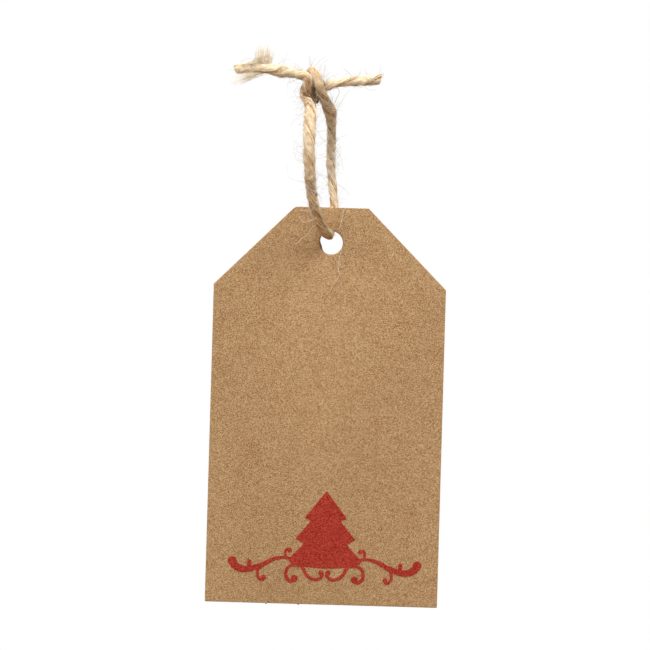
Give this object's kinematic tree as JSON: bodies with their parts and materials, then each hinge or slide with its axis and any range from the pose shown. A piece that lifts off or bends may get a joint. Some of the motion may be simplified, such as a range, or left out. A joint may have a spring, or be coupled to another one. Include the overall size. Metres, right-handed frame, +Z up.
{
  "type": "gift tag",
  "caption": "Kraft card gift tag with cut-off top corners, a printed fir tree and a punched hole, hung from a knotted loop of jute twine.",
  "frame": {"origin": "inside top of the twine loop, just under the knot, where a hook bears", "axes": "+Z up along the card's length, +X to the right seen from the front, the printed front faces -Y"},
  "size_m": [0.0501, 0.0214, 0.1162],
  "materials": {
    "kraft_card": "matte",
    "red_ink": "matte",
    "jute_twine": "matte"
  },
  "bodies": {
    "twine": {"twine_front_leg": "jute_twine", "twine_back_leg": "jute_twine", "twine_knot": "jute_twine", "twine_left_tail": "jute_twine", "twine_right_tail": "jute_twine"},
    "bight": {"twine_bight": "jute_twine"},
    "card": {"tag_card": "kraft_card", "fir_print": "red_ink", "left_scroll_print": "red_ink", "right_scroll_print": "red_ink", "left_curl_print": "red_ink", "right_curl_print": "red_ink"}
  },
  "joints": [
    {"name": "card_swing", "type": "hinge", "parent": "twine", "child": "bight", "pos_m": [0.00375, 0, -0.02855], "axis": [0, 1, 0], "range_deg": [-90, 90]},
    {"name": "card_flap", "type": "hinge", "parent": "bight", "child": "card", "pos_m": [0.00375, 0, -0.0271], "axis": [1, 0, 0], "range_deg": [-30, 30]}
  ]
}
